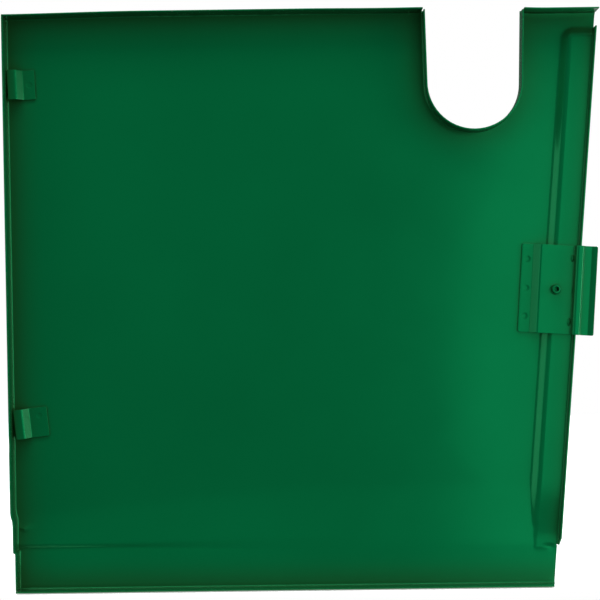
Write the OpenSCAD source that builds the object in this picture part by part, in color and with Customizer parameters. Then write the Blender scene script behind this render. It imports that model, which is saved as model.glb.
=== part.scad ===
// Pressed sheet-metal access cover with two hook clips, a latch bracket and a threaded standoff.
// The cover hangs upright: X runs across it, Z is up, and its flanges point towards -Y.
// The origin is the middle of the standoff's thread, where the screw that holds the cover goes in.
// The modules draw the cover about the centre of its flat outer face, and from_thread() then moves it.
// "Rise" is the distance from that face towards -Y.

/* [Cover] */
// Width across the top edge
cover_top_w = 509; // [420:1:620]
// Width across the bottom edge, if both sides ran on straight
cover_bottom_w = 465; // [380:1:600]
// Height of the cover
cover_h = 494; // [400:1:600]
// How far the left edge leans in at the bottom
left_lean = 3.4; // [0:0.1:10]
// Thickness of the cover sheet
sheet_t = 1.2; // [0.8:0.1:2]
// Depth of the flanges, from the outer face to the edge
flange_depth = 19; // [14:0.5:30]
// Inside radius of every flange bend
bend_r = 1.2; // [0.8:0.1:3]

/* [Notch] */
// Distance from the right top corner to the notch's centre line
notch_from_right = 106.7; // [80:0.1:260]
// Width of the notch at its mouth
notch_mouth_w = 83; // [60:0.5:110]
// Radius of the round bottom of the notch
notch_r = 40; // [20:0.5:50]
// Depth of the notch from the top edge
notch_depth = 104; // [70:1:200]
// Width of the saw cut that parts the notch lip from the top flange
lip_relief = 2.4; // [1:0.2:5]

/* [Raised strip] */
// Height of the strip that is pressed up along the right edge
strip_rise = 6; // [3:0.5:9]
// Distance from the right edge to the top of the strip's slope
strip_flat_w = 20.6; // [15:0.1:30]
// Width of the strip's slope, seen square on
strip_slope_w = 6.2; // [4:0.1:12]
// Distance from the top edge down to the foot of the strip's upper end
strip_top_gap = 16.6; // [8:0.1:40]
// Height of the strip's flange above the strip
strip_flange_h = 8.2; // [4:0.1:12]

/* [Bottom border] */
// Height of the border band along the bottom edge
border_h = 38.7; // [25:0.1:60]
// How far the border is pressed up
border_rise = 3.6; // [1:0.1:5]
// Height of the sharp step at the top of the border, seen square on
border_step_h = 4.3; // [3:0.1:10]
// Length of the gentle ramp above the border at the left edge
ramp_left_l = 22; // [10:1:60]
// Length of the gentle ramp above the border at full height
ramp_full_l = 46; // [30:1:100]
// Distance from the left edge to where the ramp has its full length
ramp_full_x = 250; // [100:5:350]
// How far the left flange steps in beside the border
border_left_jog = 3.6; // [0:0.1:5]
// Distance from the top of the border down to the cut where the left flange steps in
relief_drop = 5; // [0:0.1:10]
// How far the right edge steps in beside the border
border_right_jog = 1.7; // [0.5:0.1:6]

/* [Hook clips] */
// Thickness of the clip strip
clip_t = 1.5; // [1:0.1:2.5]
// Width of the clip strip
clip_w = 25.4; // [15:0.1:40]
// Height of the clip's nose above the cover
clip_rise = 9; // [6:0.5:12]
// Length of the clip's flat nose
clip_nose_l = 6.4; // [3:0.1:9]
// Width of the clip's slope, seen square on
clip_slope_w = 4.8; // [3:0.1:10]
// Inside radius of the clip's bends
clip_bend_r = 1; // [0.5:0.1:2]
// Gap between the clip's nose and the left flange
clip_gap = 1; // [0.6:0.1:4]
// Length of the upper clip's welded foot
upper_foot_l = 10.9; // [8:0.1:30]
// Length of the lower clip's welded foot
lower_foot_l = 15.9; // [8:0.1:30]
// Height of the upper clip's centre below the top edge
upper_clip_drop = 59.3; // [30:0.1:120]
// Height of the lower clip's centre above the bottom edge
lower_clip_lift = 144.9; // [90:0.1:220]
// Angle of the upper clip off square, as welded
upper_clip_skew = 2.5; // [0:0.5:5]
// Angle of the lower clip off square, as welded
lower_clip_skew = 6; // [0:0.5:8]

/* [Latch bracket] */
// Thickness of the bracket
bracket_t = 1.9; // [1.2:0.1:2.5]
// Length of the bracket along the cover's right edge
bracket_w = 76.2; // [50:0.1:120]
// Length of the bracket's welded foot
bracket_foot_l = 10.8; // [8:0.1:20]
// Width of the bracket's slope, seen square on
bracket_slope_w = 5.6; // [4:0.1:10]
// Distance between the foot of the bracket's slope and the foot of the strip's slope
bracket_strip_gap = 5.2; // [2:0.1:20]
// Inside radius of the bracket's bends
bracket_bend_r = 0.6; // [0.5:0.1:0.8]
// Gap between the bracket's bridge and the strip's flange that it steps over
bridge_gap = 0.3; // [0.3:0.1:1]
// How far each side of the bridge leans
bridge_lean = 0.6; // [0.3:0.1:1.5]
// How far the bracket steps back down from its bridge to its tongue
bridge_drop = 3.5; // [2:0.1:6]
// How far the tongue stands past the cover's right edge
tongue_l = 14.7; // [10:0.1:30]
// Length of the lead-in lip at the tongue's end
tongue_lip_l = 4.7; // [3:0.1:8]
// Angle of the lead-in lip
tongue_lip_angle = 25; // [10:1:45]
// Angle of the bracket off the right edge, as welded
bracket_skew = 0.8; // [0:0.1:2]
// Distance from the top edge to the bracket's centre, along the right edge
bracket_drop = 243.5; // [150:1:320]

/* [Threaded standoff] */
// Distance from the cover's right edge to the standoff's axis
standoff_inset = 18.9; // [12:0.1:24]
// Diameter of the standoff's barrel
standoff_d = 7.1; // [6.5:0.1:9]
// Height of the standoff above the bracket
standoff_rise = 6; // [3:0.5:12]
// Diameter of the tapped bore, which is the M5 thread's crest
standoff_bore_d = 4.2; // [3:0.1:5]
// Width across flats of the hexagon head let into the bracket
standoff_head_w = 7.9; // [7.6:0.1:10]
// Thickness of the hexagon head, which closes the bore
standoff_head_t = 0.9; // [0.6:0.1:1]
// Diameter of the ring that the bracket's metal forms round the barrel
standoff_ring_d = 9.6; // [9:0.1:12]
// Height of that ring
standoff_ring_h = 0.5; // [0.3:0.1:1]
// Depth of the countersink at the standoff's mouth
standoff_chamfer = 0.4; // [0.2:0.1:0.6]
// Radial gap between the standoff and its hole
standoff_gap = 0.02; // [0.01:0.01:0.05]

/* [Hidden] */
$fn = 64;
green = [0.0, 0.36, 0.19];
over = 5;                // how far a cutting shape runs past what it cuts
arc_steps = 6;           // flat facets along a sheet's bend
outer_r = bend_r + sheet_t;

top_z = cover_h / 2;
bottom_z = -cover_h / 2;
left_top_x = -cover_top_w / 2;
right_top_x = cover_top_w / 2;
left_bottom_x = left_top_x + left_lean;
right_bottom_x = left_bottom_x + cover_bottom_w;
right_angle = atan((right_top_x - right_bottom_x) / cover_h);
crease_z = bottom_z + border_h;
border_lean_z = crease_z - border_step_h;
strip_top_z = top_z - strip_top_gap;
flange_end_z = crease_z;
relief_z = crease_z - relief_drop;
strip_angle = atan(strip_rise / strip_slope_w);
notch_x = right_top_x - notch_from_right;
notch_arc_z = top_z - notch_depth + notch_r;
bracket_z = top_z - bracket_drop * cos(right_angle);
bracket_inboard_l = strip_flat_w + strip_slope_w + bracket_strip_gap + bracket_slope_w + bracket_foot_l;
standoff_foot = sheet_t + strip_rise;
standoff_h = bracket_t + standoff_rise;
thread_rise = standoff_foot + (standoff_head_t + standoff_h - standoff_chamfer) / 2;

// Where the straight left and right sides lie at height z
function left_x(z) = left_top_x + left_lean * (top_z - z) / cover_h;
function right_x(z) = right_top_x - (right_top_x - right_bottom_x) * (top_z - z) / cover_h;

// Sideways shift of a slope when its sheet surface moves out by a depth
function slope_shift(angle, depth) = depth * tan(angle / 2);

function unit(v) = v / norm(v);
function left_of(v) = [-v[1], v[0]];
function turn(a, b) = atan2(a[0] * b[1] - a[1] * b[0], a[0] * b[0] + a[1] * b[1]);

// Points of the arc that rounds corner b of the line a, b, c. The bend has radius r on its inner side,
// where the sheet of thickness t lies to the left of the line.
function bend_points(a, b, c, r, t) =
    let (u = unit(b - a), v = unit(c - b), bend = turn(u, v))
    let (line_r = bend > 0 ? r + t : r, reach = line_r * tan(abs(bend) / 2), side = bend > 0 ? 1 : -1)
    let (centre = b - reach * u + side * line_r * left_of(u))
    [for (i = [0:arc_steps])
        let (angle = bend * i / arc_steps, out = -side * left_of(u) * line_r)
        centre + [out[0] * cos(angle) - out[1] * sin(angle), out[0] * sin(angle) + out[1] * cos(angle)]];

// The line with every inner corner rounded
function rounded_line(p, r, t) =
    [p[0], for (i = [1:len(p) - 2]) each bend_points(p[i - 1], p[i], p[i + 1], r, t), p[len(p) - 1]];

// The line moved to its left by t
function moved_line(p, t) =
    [for (i = [0:len(p) - 1])
        let (before = i > 0 ? unit(p[i] - p[i - 1]) : unit(p[1] - p[0]))
        let (after = i < len(p) - 1 ? unit(p[i + 1] - p[i]) : before)
        let (middle = unit(left_of(before) + left_of(after)))
        p[i] + middle * t / (middle * left_of(after))];

function reversed(p) = [for (i = [len(p) - 1:-1:0]) p[i]];

// Section of a bent strip: its underside follows line p, and its thickness lies to the left
module strip_section(p, r, t) {
    underside = rounded_line(p, r, t);
    polygon(concat(underside, reversed(moved_line(underside, t))));
}

// Stands a flat shape up in the cover's plane, between two rises
module between(low, high) {
    rotate([90, 0, 0]) translate([0, 0, low]) linear_extrude(high - low) children();
}

// Moves the middle of the standoff's thread to the origin
module from_thread() {
    turned = right_angle - bracket_skew;
    thread_x = right_x(bracket_z) - standoff_inset * cos(turned);
    thread_z = bracket_z + standoff_inset * sin(turned);
    translate([-thread_x, thread_rise, -thread_z]) children();
}

// Moves to height z on the cover's right edge, with Z along the edge and +X square out of it
module on_right_edge(z) {
    translate([right_x(z), 0, z]) rotate([0, right_angle, 0]) children();
}

// Outline of the cover, taken in by a depth. The right edge stays open beside the corner and border.
module cover_outline(depth) {
    open = depth > 0 ? over : 0;
    polygon([
        [left_x(top_z) + depth, top_z - depth],
        [right_x(top_z) + open, top_z - depth],
        [right_x(strip_top_z) + open, strip_top_z],
        [right_x(strip_top_z) - depth, strip_top_z],
        [right_x(flange_end_z) - depth, flange_end_z],
        [right_x(flange_end_z) - border_right_jog + open, flange_end_z],
        [right_x(bottom_z) - border_right_jog + open, bottom_z + depth],
        [left_x(bottom_z) + border_left_jog + depth, bottom_z + depth],
        [left_x(relief_z) + border_left_jog + depth, relief_z],
        [left_x(relief_z) + depth, relief_z]
    ]);
}

// Tool that rounds a bend between the flat and a flange. It runs along Z, with the corner at its origin.
module bend_cutter(length, depth) {
    r = outer_r - depth;
    translate([0, 0, -over]) difference() {
        translate([-over, -over, 0]) cube([over + r, over + r, length + 2 * over]);
        translate([r, r, -over]) cylinder(r = r, h = length + 4 * over);
    }
}

// Everything on the inner side of the sheet surface that lies a depth inside the outer face
module pan(depth) {
    left_angle = atan(left_lean / cover_h);
    difference() {
        between(depth, depth > 0 ? flange_depth + over : flange_depth) cover_outline(depth);
        // left bend
        translate([left_x(bottom_z) + depth, -depth, bottom_z])
            rotate([0, -left_angle, 0]) mirror([0, 1, 0]) bend_cutter(cover_h, depth);
        // top bend
        translate([left_x(top_z), -depth, top_z - depth])
            rotate([0, 90, 0]) mirror([0, 1, 0]) bend_cutter(cover_top_w, depth);
        pressings(depth);
    }
}

// Section of the raised strip's punch, in distance from the right edge and rise
function strip_punch(depth) =
    let (shift = slope_shift(strip_angle, depth), high = strip_rise + depth)
    concat(
        [[strip_flat_w + strip_slope_w + shift, -over],
         [strip_flat_w + strip_slope_w + shift, depth],
         [strip_flat_w + shift, high]],
        [for (i = [0:arc_steps])
            let (angle = 90 * i / arc_steps, r = outer_r - depth)
            [outer_r - r * sin(angle), strip_rise + outer_r - r * cos(angle)]],
        [[-2 * over, strip_rise + outer_r], [-2 * over, -over]]);

// Side view of the strip's punch, in height and rise: sloped at the top, and run out at the border
function strip_side(depth) =
    let (shift = slope_shift(strip_angle, depth), high = strip_rise + outer_r + over)
    let (run = strip_slope_w * high / strip_rise)
    [[strip_top_z + shift, depth],
     [strip_top_z + shift - run, high + depth],
     [flange_end_z - shift + run, high + depth],
     [flange_end_z - shift, depth],
     [flange_end_z - shift, -over],
     [strip_top_z + shift, -over]];

// Section of the border's punch, in height and rise
function border_punch(depth) =
    concat(
        [[crease_z, -over],
         [crease_z, depth],
         [border_lean_z, border_rise + depth]],
        [for (i = [0:arc_steps])
            let (angle = 90 * i / arc_steps, r = outer_r - depth)
            [bottom_z + outer_r - r * sin(angle), border_rise + outer_r - r * cos(angle)]],
        [[bottom_z - over, border_rise + outer_r], [bottom_z - over, -over]]);

// Extrudes a shape drawn in (height, rise) across the whole cover
module across_cover() {
    translate([left_top_x - over, 0, 0])
        rotate([0, 90, 0]) mirror([1, 1, 0]) mirror([1, 0, 0]) rotate([0, 0, 90])
            linear_extrude(cover_top_w + 2 * over) children();
}

// One stretch of the gentle ramp above the border
module ramp(x0, length0, x1, length1, depth) {
    rise0 = border_rise * length0 / ramp_full_l + depth;
    rise1 = border_rise * length1 / ramp_full_l + depth;
    low = crease_z - border_step_h;
    points = [
        [x0, over, low], [x0, -rise0, low], [x0, -rise0, crease_z],
        [x0, -depth, crease_z + length0], [x0, over, crease_z + length0],
        [x1, over, low], [x1, -rise1, low], [x1, -rise1, crease_z],
        [x1, -depth, crease_z + length1], [x1, over, crease_z + length1]
    ];
    polyhedron(points, [
        [4, 3, 2, 1, 0], [5, 6, 7, 8, 9], [0, 1, 6, 5], [1, 2, 7, 6],
        [2, 3, 8, 7], [3, 4, 9, 8], [4, 0, 5, 9]
    ]);
}

// The punches that press the strip, the border and its ramp up out of the flat
module pressings(depth) {
    ramp_x = left_top_x + ramp_full_x;
    intersection() {
        on_right_edge(bottom_z) translate([0, 0, -over])
            linear_extrude(cover_h + 2 * over) polygon([for (p = strip_punch(depth)) [-p[0], -p[1]]]);
        across_cover() polygon(strip_side(depth));
    }
    across_cover() polygon(border_punch(depth));
    ramp(left_top_x - over, ramp_left_l, ramp_x, ramp_full_l, depth);
    ramp(ramp_x, ramp_full_l, right_top_x + over, ramp_full_l, depth);
}

// Outline of the notch, grown by a depth
module notch_outline(depth) {
    mouth = notch_mouth_w / 2 + depth;
    translate([notch_x, notch_arc_z]) circle(r = notch_r + depth, $fn = 128);
    polygon([
        [notch_x - notch_r - depth, notch_arc_z], [notch_x + notch_r + depth, notch_arc_z],
        [notch_x + mouth, top_z + over], [notch_x - mouth, top_z + over]
    ]);
}

module cover_skin() {
    color(green) from_thread() difference() {
        union() {
            difference() {
                pan(0);
                pan(sheet_t);
            }
            intersection() {
                between(0, flange_depth) notch_outline(sheet_t);
                between(0, flange_depth) cover_outline(0);
            }
        }
        between(-over, flange_depth + over) notch_outline(0);
        // saw cuts between the notch lip and the top flange
        for (side = [-1, 1])
            translate([notch_x + side * notch_mouth_w / 2, -outer_r, top_z])
                rotate([90, 45, 0])
                    translate([-lip_relief, -lip_relief, 0] / 2)
                        cube([lip_relief, lip_relief, 2 * flange_depth]);
        // relief where the left flange steps in beside the border
        between(outer_r + border_rise, flange_depth + over)
            translate([left_x(relief_z) - over, relief_z - outer_r])
                square([over + outer_r + border_left_jog, 2 * outer_r]);
        // the strip's flange is lower than the others
        between(sheet_t + strip_rise + strip_flange_h, flange_depth + over)
            polygon([
                [right_x(strip_top_z) - 2 * outer_r, top_z - outer_r],
                [right_x(top_z) + over, top_z - outer_r],
                [right_x(flange_end_z) + over, flange_end_z],
                [right_x(flange_end_z) - 2 * outer_r, flange_end_z]
            ]);
    }
}

// Line of a clip's underside, from the end of its foot to its nose
function clip_line(foot_l) = [
    [0, 0], [foot_l, 0], [foot_l + clip_slope_w, clip_rise - clip_t],
    [foot_l + clip_slope_w + clip_nose_l, clip_rise - clip_t]
];

// A clip whose nose faces the left flange at height z
module hook_clip(z, foot_l, skew) {
    reach = foot_l + clip_slope_w + clip_nose_l;
    swing = clip_w / 2 * sin(skew);
    color(green) from_thread()
        translate([left_x(z) + sheet_t + clip_gap + swing + reach, -sheet_t, z])
            rotate([0, -skew, 0]) mirror([0, 1, 0]) mirror([1, 0, 0])
                translate([0, 0, -clip_w / 2]) linear_extrude(clip_w)
                    strip_section(clip_line(foot_l), clip_bend_r, clip_t);
}

module upper_hook_clip() {
    hook_clip(top_z - upper_clip_drop, upper_foot_l, upper_clip_skew);
}

module lower_hook_clip() {
    hook_clip(bottom_z + lower_clip_lift, lower_foot_l, lower_clip_skew);
}

bridge_rise = strip_rise + strip_flange_h + bridge_gap;
bridge_slack = bridge_gap + bracket_w / 2 * tan(bracket_skew);
bridge_start = bracket_inboard_l - sheet_t - bridge_slack;
bridge_end = bracket_inboard_l + bridge_slack;
tongue_rise = bridge_rise - bridge_drop;

// Line of the bracket's underside, from the end of its foot, over the strip's flange, to its tongue's tip
bracket_line = [
    [0, 0], [bracket_foot_l, 0], [bracket_foot_l + bracket_slope_w, strip_rise],
    [bridge_start - bridge_lean, strip_rise], [bridge_start, bridge_rise],
    [bridge_end, bridge_rise], [bridge_end + bridge_lean, tongue_rise],
    [bracket_inboard_l + tongue_l - tongue_lip_l, tongue_rise],
    [bracket_inboard_l + tongue_l, tongue_rise + tongue_lip_l * tan(tongue_lip_angle)]
];

// Moves to where the bracket's middle line crosses the right edge, turned as the bracket is welded
module on_bracket() {
    on_right_edge(bracket_z) rotate([0, -bracket_skew, 0]) children();
}

// Moves to the foot of the standoff's axis, with Z pointing out of the cover
module on_standoff() {
    on_bracket() translate([-standoff_inset, -standoff_foot, 0]) rotate([90, 0, 0]) children();
}

// The standoff's hexagon head, grown all round by a gap
module standoff_head(gap) {
    cylinder(d = (standoff_head_w + 2 * gap) / cos(30), h = standoff_head_t + gap, $fn = 6);
}

module latch_bracket() {
    color(green) from_thread() difference() {
        union() {
            on_bracket() translate([-bracket_inboard_l, -sheet_t, -bracket_w / 2])
                mirror([0, 1, 0]) linear_extrude(bracket_w)
                    strip_section(bracket_line, bracket_bend_r, bracket_t);
            on_standoff() cylinder(d = standoff_ring_d, h = bracket_t + standoff_ring_h);
        }
        on_standoff() {
            translate([0, 0, -over]) cylinder(d = standoff_d + 2 * standoff_gap, h = standoff_h + over);
            standoff_head(standoff_gap);
        }
    }
}

module threaded_standoff() {
    bore_r = standoff_bore_d / 2;
    color(green) from_thread() on_standoff() difference() {
        union() {
            cylinder(d = standoff_d, h = standoff_h);
            standoff_head(0);
        }
        translate([0, 0, standoff_head_t]) cylinder(r = bore_r, h = standoff_h);
        translate([0, 0, standoff_h - standoff_chamfer])
            cylinder(r1 = bore_r, r2 = bore_r + standoff_chamfer + over, h = standoff_chamfer + over);
    }
}

cover_skin();
upper_hook_clip();
lower_hook_clip();
latch_bracket();
threaded_standoff();
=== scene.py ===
"""Looks of the sheet-metal access cover: pressed skin, two hook clips, latch bracket and standoff."""

import math

import bmesh
import bpy
from mathutils import Matrix, Vector
from mathutils.geometry import delaunay_2d_cdt


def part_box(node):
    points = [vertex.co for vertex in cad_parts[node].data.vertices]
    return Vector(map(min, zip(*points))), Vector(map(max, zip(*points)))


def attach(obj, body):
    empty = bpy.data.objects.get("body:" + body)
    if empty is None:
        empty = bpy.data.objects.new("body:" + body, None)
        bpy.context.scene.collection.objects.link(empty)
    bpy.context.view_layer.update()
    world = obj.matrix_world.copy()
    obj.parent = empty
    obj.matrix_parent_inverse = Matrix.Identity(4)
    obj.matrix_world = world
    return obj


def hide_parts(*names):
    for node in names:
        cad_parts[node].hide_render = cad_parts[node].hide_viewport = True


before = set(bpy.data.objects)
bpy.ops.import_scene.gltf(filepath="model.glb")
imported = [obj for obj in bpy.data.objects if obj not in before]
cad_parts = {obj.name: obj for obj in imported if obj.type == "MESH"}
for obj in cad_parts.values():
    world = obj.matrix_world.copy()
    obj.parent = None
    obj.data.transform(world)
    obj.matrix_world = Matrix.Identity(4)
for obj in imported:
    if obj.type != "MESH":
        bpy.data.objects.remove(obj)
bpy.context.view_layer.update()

# All shapes are worked out in millimetres about the middle of the cover's flat outer face,
# with X across, Z up and "rise" counted from that face towards -Y, then moved into the shared frame.
MM = 0.001
SKIN_LO, SKIN_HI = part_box("cover_skin")
MIDDLE_X = (SKIN_LO.x + SKIN_HI.x) / 2
MIDDLE_Z = (SKIN_LO.z + SKIN_HI.z) / 2
FACE_Y = SKIN_HI.y

# Cover
COVER_H = (SKIN_HI.z - SKIN_LO.z) / MM
COVER_TOP_W = (SKIN_HI.x - SKIN_LO.x) / MM
LEFT_LEAN = 3.4
RIGHT_LEAN = 40.6
SHEET_T = 1.2
OUTER_R = 2.4
FLANGE_DEPTH = 19.0
TOP_Z = COVER_H / 2
BOTTOM_Z = -COVER_H / 2
LEFT_TOP_X = -COVER_TOP_W / 2
RIGHT_TOP_X = COVER_TOP_W / 2
RIGHT_ANGLE = math.atan(RIGHT_LEAN / COVER_H)

# The top edge as it sags: its two ends and a dip left of the notch, and the lengths they fade over
LEFT_DROOP = 1.6
LEFT_DROOP_L = 130.0
RIGHT_DROOP = 1.9
RIGHT_DROOP_L = 40.0
TOP_DIP = 0.35
TOP_DIP_X = -80.0
TOP_DIP_L = 60.0

# Crown and waves of the hand-pressed flat, and the calm rim along its edges
CROWN_RISE = 0.45
WAVE_RISE = 0.07
WAVE_X = 47.0
WAVE_Z = 61.0
WAVE_SLANT = 31.0
CALM_RIM = 26.0
CALM_FADE = 70.0

# Notch
NOTCH_X = LEFT_TOP_X + 402.3
NOTCH_HALF_MOUTH = 83.0 / 2
NOTCH_R = 40.0
NOTCH_ARC_Z = TOP_Z - 104.0 + NOTCH_R
LIP_RELIEF = 1.7

# Raised strip along the right edge
STRIP_RISE = 6.0
STRIP_FLAT_W = 20.6
STRIP_SLOPE_W = 6.2
STRIP_CORNER_R = 9.0
STRIP_FOOT_SOFT = 1.3
STRIP_TOP_SOFT = 1.5
STRIP_TOP_Z = TOP_Z - 16.6
STRIP_FLANGE_TIP = 15.4
STRIP_RUN_OUT = 60.0
STRIP_LAST_DIP = 9.0
STRIP_FLANGE_END = 5.0
STRIP_CHAMFER = 7.0

# Border along the bottom edge
CREASE_Z = BOTTOM_Z + 38.7
BORDER_RISE = 3.6
CREASE_H = 2.6
CREASE_FOOT_H = 13.0
CREASE_DIP = 1.7
CREASE_FADE_X = 330.0
RAMP_LEFT_L = 22.0
RAMP_FULL_L = 46.0
RAMP_FULL_X = 250.0
LEDGE_Z = CREASE_Z - 5.0
LEDGE_HALF = 0.5
RAMP_JOG_Z = CREASE_Z + 29.0
RAMP_JOG_L = 9.0
RIPPLE_Z = CREASE_Z + 86
RIPPLE_L = 9
RIPPLE_DEPTH = 0.25
BORDER_LEFT_JOG = 3.6
BORDER_RIGHT_JOG = 1.7
RAMP_LEFT_JOG = 1.9
RAMP_SOFT = 5.0
CREASE_SOFT = 0.8
CREASE_SOFTER = 5.0

# Rounding where the strip meets the border: least, and what full height adds
JOINT_SOFT = 0.05
JOINT_SOFTER = 0.75

# Dents of the press: distance in from the edge, height over the crease, reach and rise
LEFT_WRINKLE = {"inset": 9.0, "up": 13.5, "reach": (8.0, 2.8), "rise": 1.7}
FLANGE_DENT = {"inset": 8.0, "up": -6.5, "reach": (4.0, 3.0), "rise": -0.8}
STRIP_DENT = {"inset": 21.0, "up": 10.0, "reach": (2.5, 7.0), "rise": -0.5}

# Clips: heights, foot lengths and angles
CLIP_T = 1.5
CLIP_W = 25.4
CLIP_RISE = 9.0
CLIP_NOSE_L = 6.4
CLIP_SLOPE_W = 4.8
CLIP_BEND_R = 1.0
CLIP_GAP = 1.0
UPPER_CLIP_Z = TOP_Z - 59.3
LOWER_CLIP_Z = UPPER_CLIP_Z - 289.8
UPPER_CLIP = {"z": UPPER_CLIP_Z, "foot": 10.9, "skew": 2.5}
LOWER_CLIP = {"z": LOWER_CLIP_Z, "foot": 15.9, "skew": 6.0}
# Spot-weld prints: length along, distance across, radius and share of the thickness that is pressed away
UPPER_CLIP_PRINTS = [(5.0, 0.0, 3.2, 0.18)]
LOWER_CLIP_PRINTS = [(7.0, 5.5, 2.8, 0.18)]

# Latch bracket
BRACKET_T = 1.9
BRACKET_W = 76.2
BRACKET_BEND_R = 0.6
BRACKET_SKEW = math.radians(0.8)
BRACKET_Z = TOP_Z - 243.5 * math.cos(RIGHT_ANGLE)
BRACKET_INBOARD = 48.4
BRACKET_FOOT_L = 10.8
BRACKET_SLOPE_W = 5.6
BRIDGE_GAP = 0.3
BRIDGE_SLACK = BRIDGE_GAP + BRACKET_W / 2 * math.tan(BRACKET_SKEW)
BRIDGE_LEAN = 0.6
BRIDGE_RISE = STRIP_FLANGE_TIP - SHEET_T + BRIDGE_GAP
TONGUE_RISE = BRIDGE_RISE - 3.5
TONGUE_L = 14.7
TONGUE_LIP_L = 4.7
TONGUE_LIP_ANGLE = math.radians(25)
BRACKET_PRINTS = [(5.3, -24.0, 3.0, 0.16), (5.3, 0.0, 3.0, 0.12), (5.3, 25.0, 3.0, 0.16)]
# Tack welds beside the strip's flange: distance from the foot end, place along the edge and half sizes
TACK_WELDS = [(42.6, 27.5, (1.8, 3.2, 0.7)), (42.4, -27.0, (1.6, 3.6, 0.7))]
TACK_SUNK = 0.1

# Standoff
STANDOFF_INSET = 18.9
STANDOFF_R = 3.55
STANDOFF_H = 7.9
HEAD_FLAT_R = 7.9 / 2
HEAD_R = HEAD_FLAT_R / math.cos(math.radians(30))
HEAD_T = 0.9
BORE_R = 2.1
THREAD_R = 2.45
THREAD_PITCH = 0.8
RING_R = 4.8
RING_H = 0.5
SMALL_GAP = 0.02
TURN_POINTS = 48

# Mesh: steps round a bend and up a flange's wall, and spacing on the flat, along edges and in bends
BEND_STEPS = 7
WALL_STEPS = 4
FLAT_SPACING = 9
EDGE_SPACING = 4
FINE_SPACING = 0.9

# Widths to which the cut edges are broken
SKIN_EDGE = 0.22
CLIP_EDGE = 0.2
BRACKET_EDGE = 0.25

# Paint: colours, gloss and the fine roughness of its surface
PAINT_DARK = (0.0006, 0.082, 0.025, 1)
PAINT_LIGHT = (0.0006, 0.09, 0.0275, 1)
PAINT_WORN = (0.02, 0.16, 0.06, 1)
# Darker green painted into corners and creases as painted shade
PAINTED_SHADE_GREEN = (0.008, 0.042, 0.009, 1)
PAINT_MIRROR = (0.02, 1.0, 0.32, 1.0)
PAINT_ROUGH = (0.17, 0.22)
# How far, in metres, the painted shade looks for nearby surfaces that close in a corner or crease
PAINTED_SHADE_REACH = 0.03
PEEL_STRENGTH = 0.06
PEEL_DEPTH = 0.0003

# Strength of the white room for soft light at the height of the cover, and of what the gloss mirrors of it
SOFT_LIGHT = 0.6
MIRRORED_ROOM = 0.07

# Cards of light: place from the middle of the cover's width, size and power
LIGHT_CARDS = {
    "right card": ((0.64, -1.19, -0.03), (0.74, 0.9), 4.6),
    "far right card": ((1.5, -0.5, 0.05), (0.5, 1.0), 13.0),
    "left card": ((-1.5, -0.4, 0.1), (0.5, 1.0), 4.0),
    "rear card": ((1.1, 1.3, 0.7), (1.0, 1.0), 9.0),
    "top card": ((0.0, -0.5, 1.35), (1.4, 0.4), 12.0),
}

# How far the floor runs in front of the cover (short, so that the border does not mirror it) and behind
FLOOR_FRONT = 0.03
FLOOR_BACK = 1.8
FLOOR_HALF_W = 3.0
FLOOR_GLOW = 0.33
FLOOR_COLOUR = (0.93, 0.93, 0.93)
FLOOR_ROUGH = 0.9

# Camera: place, turns in degrees, lens and film width in millimetres
CAMERA_AT = (-0.21645, -1.19231, -0.01251)
CAMERA_YAW = 0.11
CAMERA_PITCH = 90.291
CAMERA_ROLL = -0.737
CAMERA_LENS = 83.7
FILM_W = 36


def left_x(z):
    """Where the straight left edge lies at height z."""
    return LEFT_TOP_X + LEFT_LEAN * (TOP_Z - z) / COVER_H


def right_x(z):
    """Where the straight right edge lies at height z."""
    return RIGHT_TOP_X - RIGHT_LEAN * (TOP_Z - z) / COVER_H


def spot(x, rise, z):
    """A point of the shared frame, from millimetres on the cover."""
    return Vector((MIDDLE_X + x * MM, FACE_Y - rise * MM, MIDDLE_Z + z * MM))


def ease(t):
    """Goes smoothly from 0 to 1 while t does."""
    t = min(1.0, max(0.0, t))
    return t * t * (3 - 2 * t)


def hinge(t, half):
    """Zero below 0 and t above it, with the corner rounded over half either side."""
    if t <= -half:
        return 0.0
    if t >= half:
        return t
    return (t + half) ** 2 / (4 * half)


def hump(x, z, middle, reach):
    """A soft round bump of height 1 that dies out at its reach."""
    away = math.hypot((x - middle[0]) / reach[0], (z - middle[1]) / reach[1])
    return ease(1 - away)


def steps(first, last, step):
    """Evenly spaced values from first to last, about a step apart, both ends included."""
    count = max(1, round(abs(last - first) / step))
    return [first + (last - first) * i / count for i in range(count + 1)]


# ---------------------------------------------------------------- skin: height of the pressed sheet


def border_rise(x, z):
    """Rise of the bottom border, the crease pressed along its top and the gentle ramp above it."""
    along = min(1.0, max(0.0, (x - LEFT_TOP_X) / RAMP_FULL_X))
    ramp_l = RAMP_LEFT_L + (RAMP_FULL_L - RAMP_LEFT_L) * along
    dip = CREASE_DIP * ease(1 - (x - LEFT_TOP_X) / CREASE_FADE_X)
    ramp_slope = BORDER_RISE / ramp_l
    crease_slope = -dip / CREASE_H
    foot_slope = dip / CREASE_FOOT_H
    soft = CREASE_SOFT + CREASE_SOFTER * along**2
    rise = ramp_slope * hinge(CREASE_Z + ramp_l - z, RAMP_SOFT)
    rise += (crease_slope - ramp_slope) * hinge(CREASE_Z - z, soft)
    rise += (foot_slope - crease_slope) * hinge(CREASE_Z - CREASE_H - z, soft)
    rise -= foot_slope * hinge(CREASE_Z - CREASE_H - CREASE_FOOT_H - z, soft)
    return rise


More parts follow.
